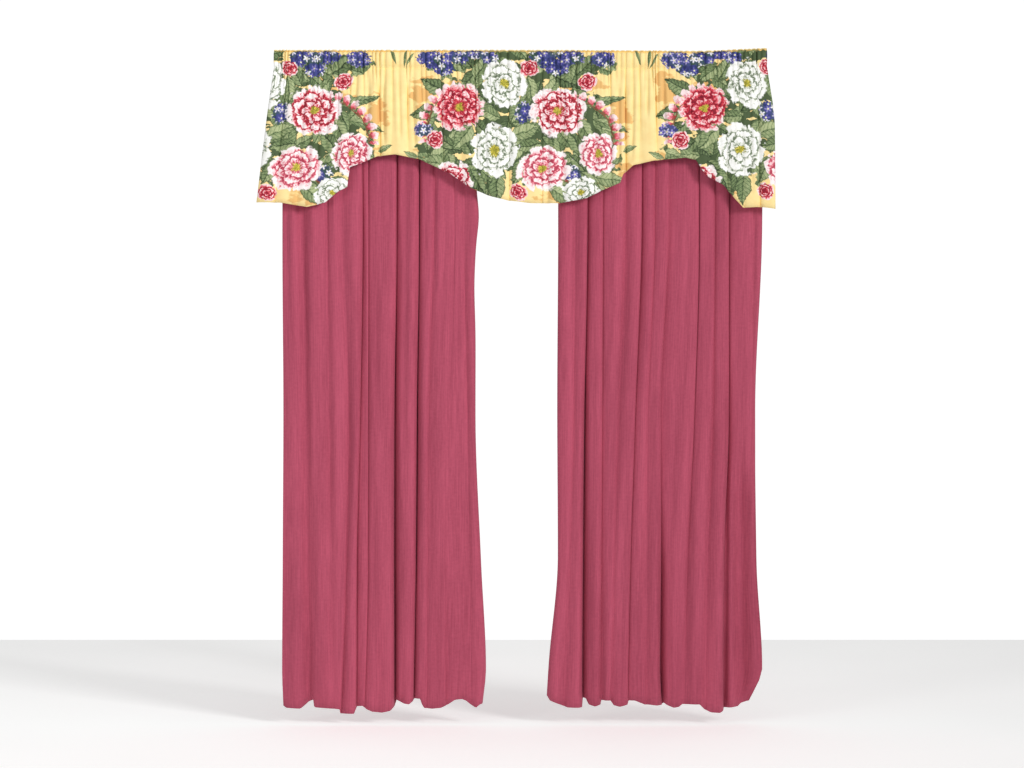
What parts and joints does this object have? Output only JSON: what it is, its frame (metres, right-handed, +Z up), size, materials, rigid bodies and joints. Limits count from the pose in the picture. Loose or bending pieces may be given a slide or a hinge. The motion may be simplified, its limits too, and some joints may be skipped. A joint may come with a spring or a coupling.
{
  "type": "curtain set: pair of drapes with a shaped valance",
  "caption": "Pair of floor-length gathered drapes behind a gathered, shaped valance, all on open-ended rod pockets, parted in the middle.",
  "frame": {"origin": "middle of the valance's top edge, on the line where the set hangs", "axes": "+Z up, -Y towards the room, +X to the right as seen from the room"},
  "size_m": [1.6688, 0.0829, 2.149],
  "materials": {
    "printed_cotton": "plain-woven cotton, light yellow ground with a printed floral pattern",
    "rose_cotton": "plain-woven cotton with a fine upright slub, dyed rose"
  },
  "bodies": {
    "root": {"valance": "printed_cotton", "left_drape": "rose_cotton", "right_drape": "rose_cotton"}
  },
  "joints": []
}
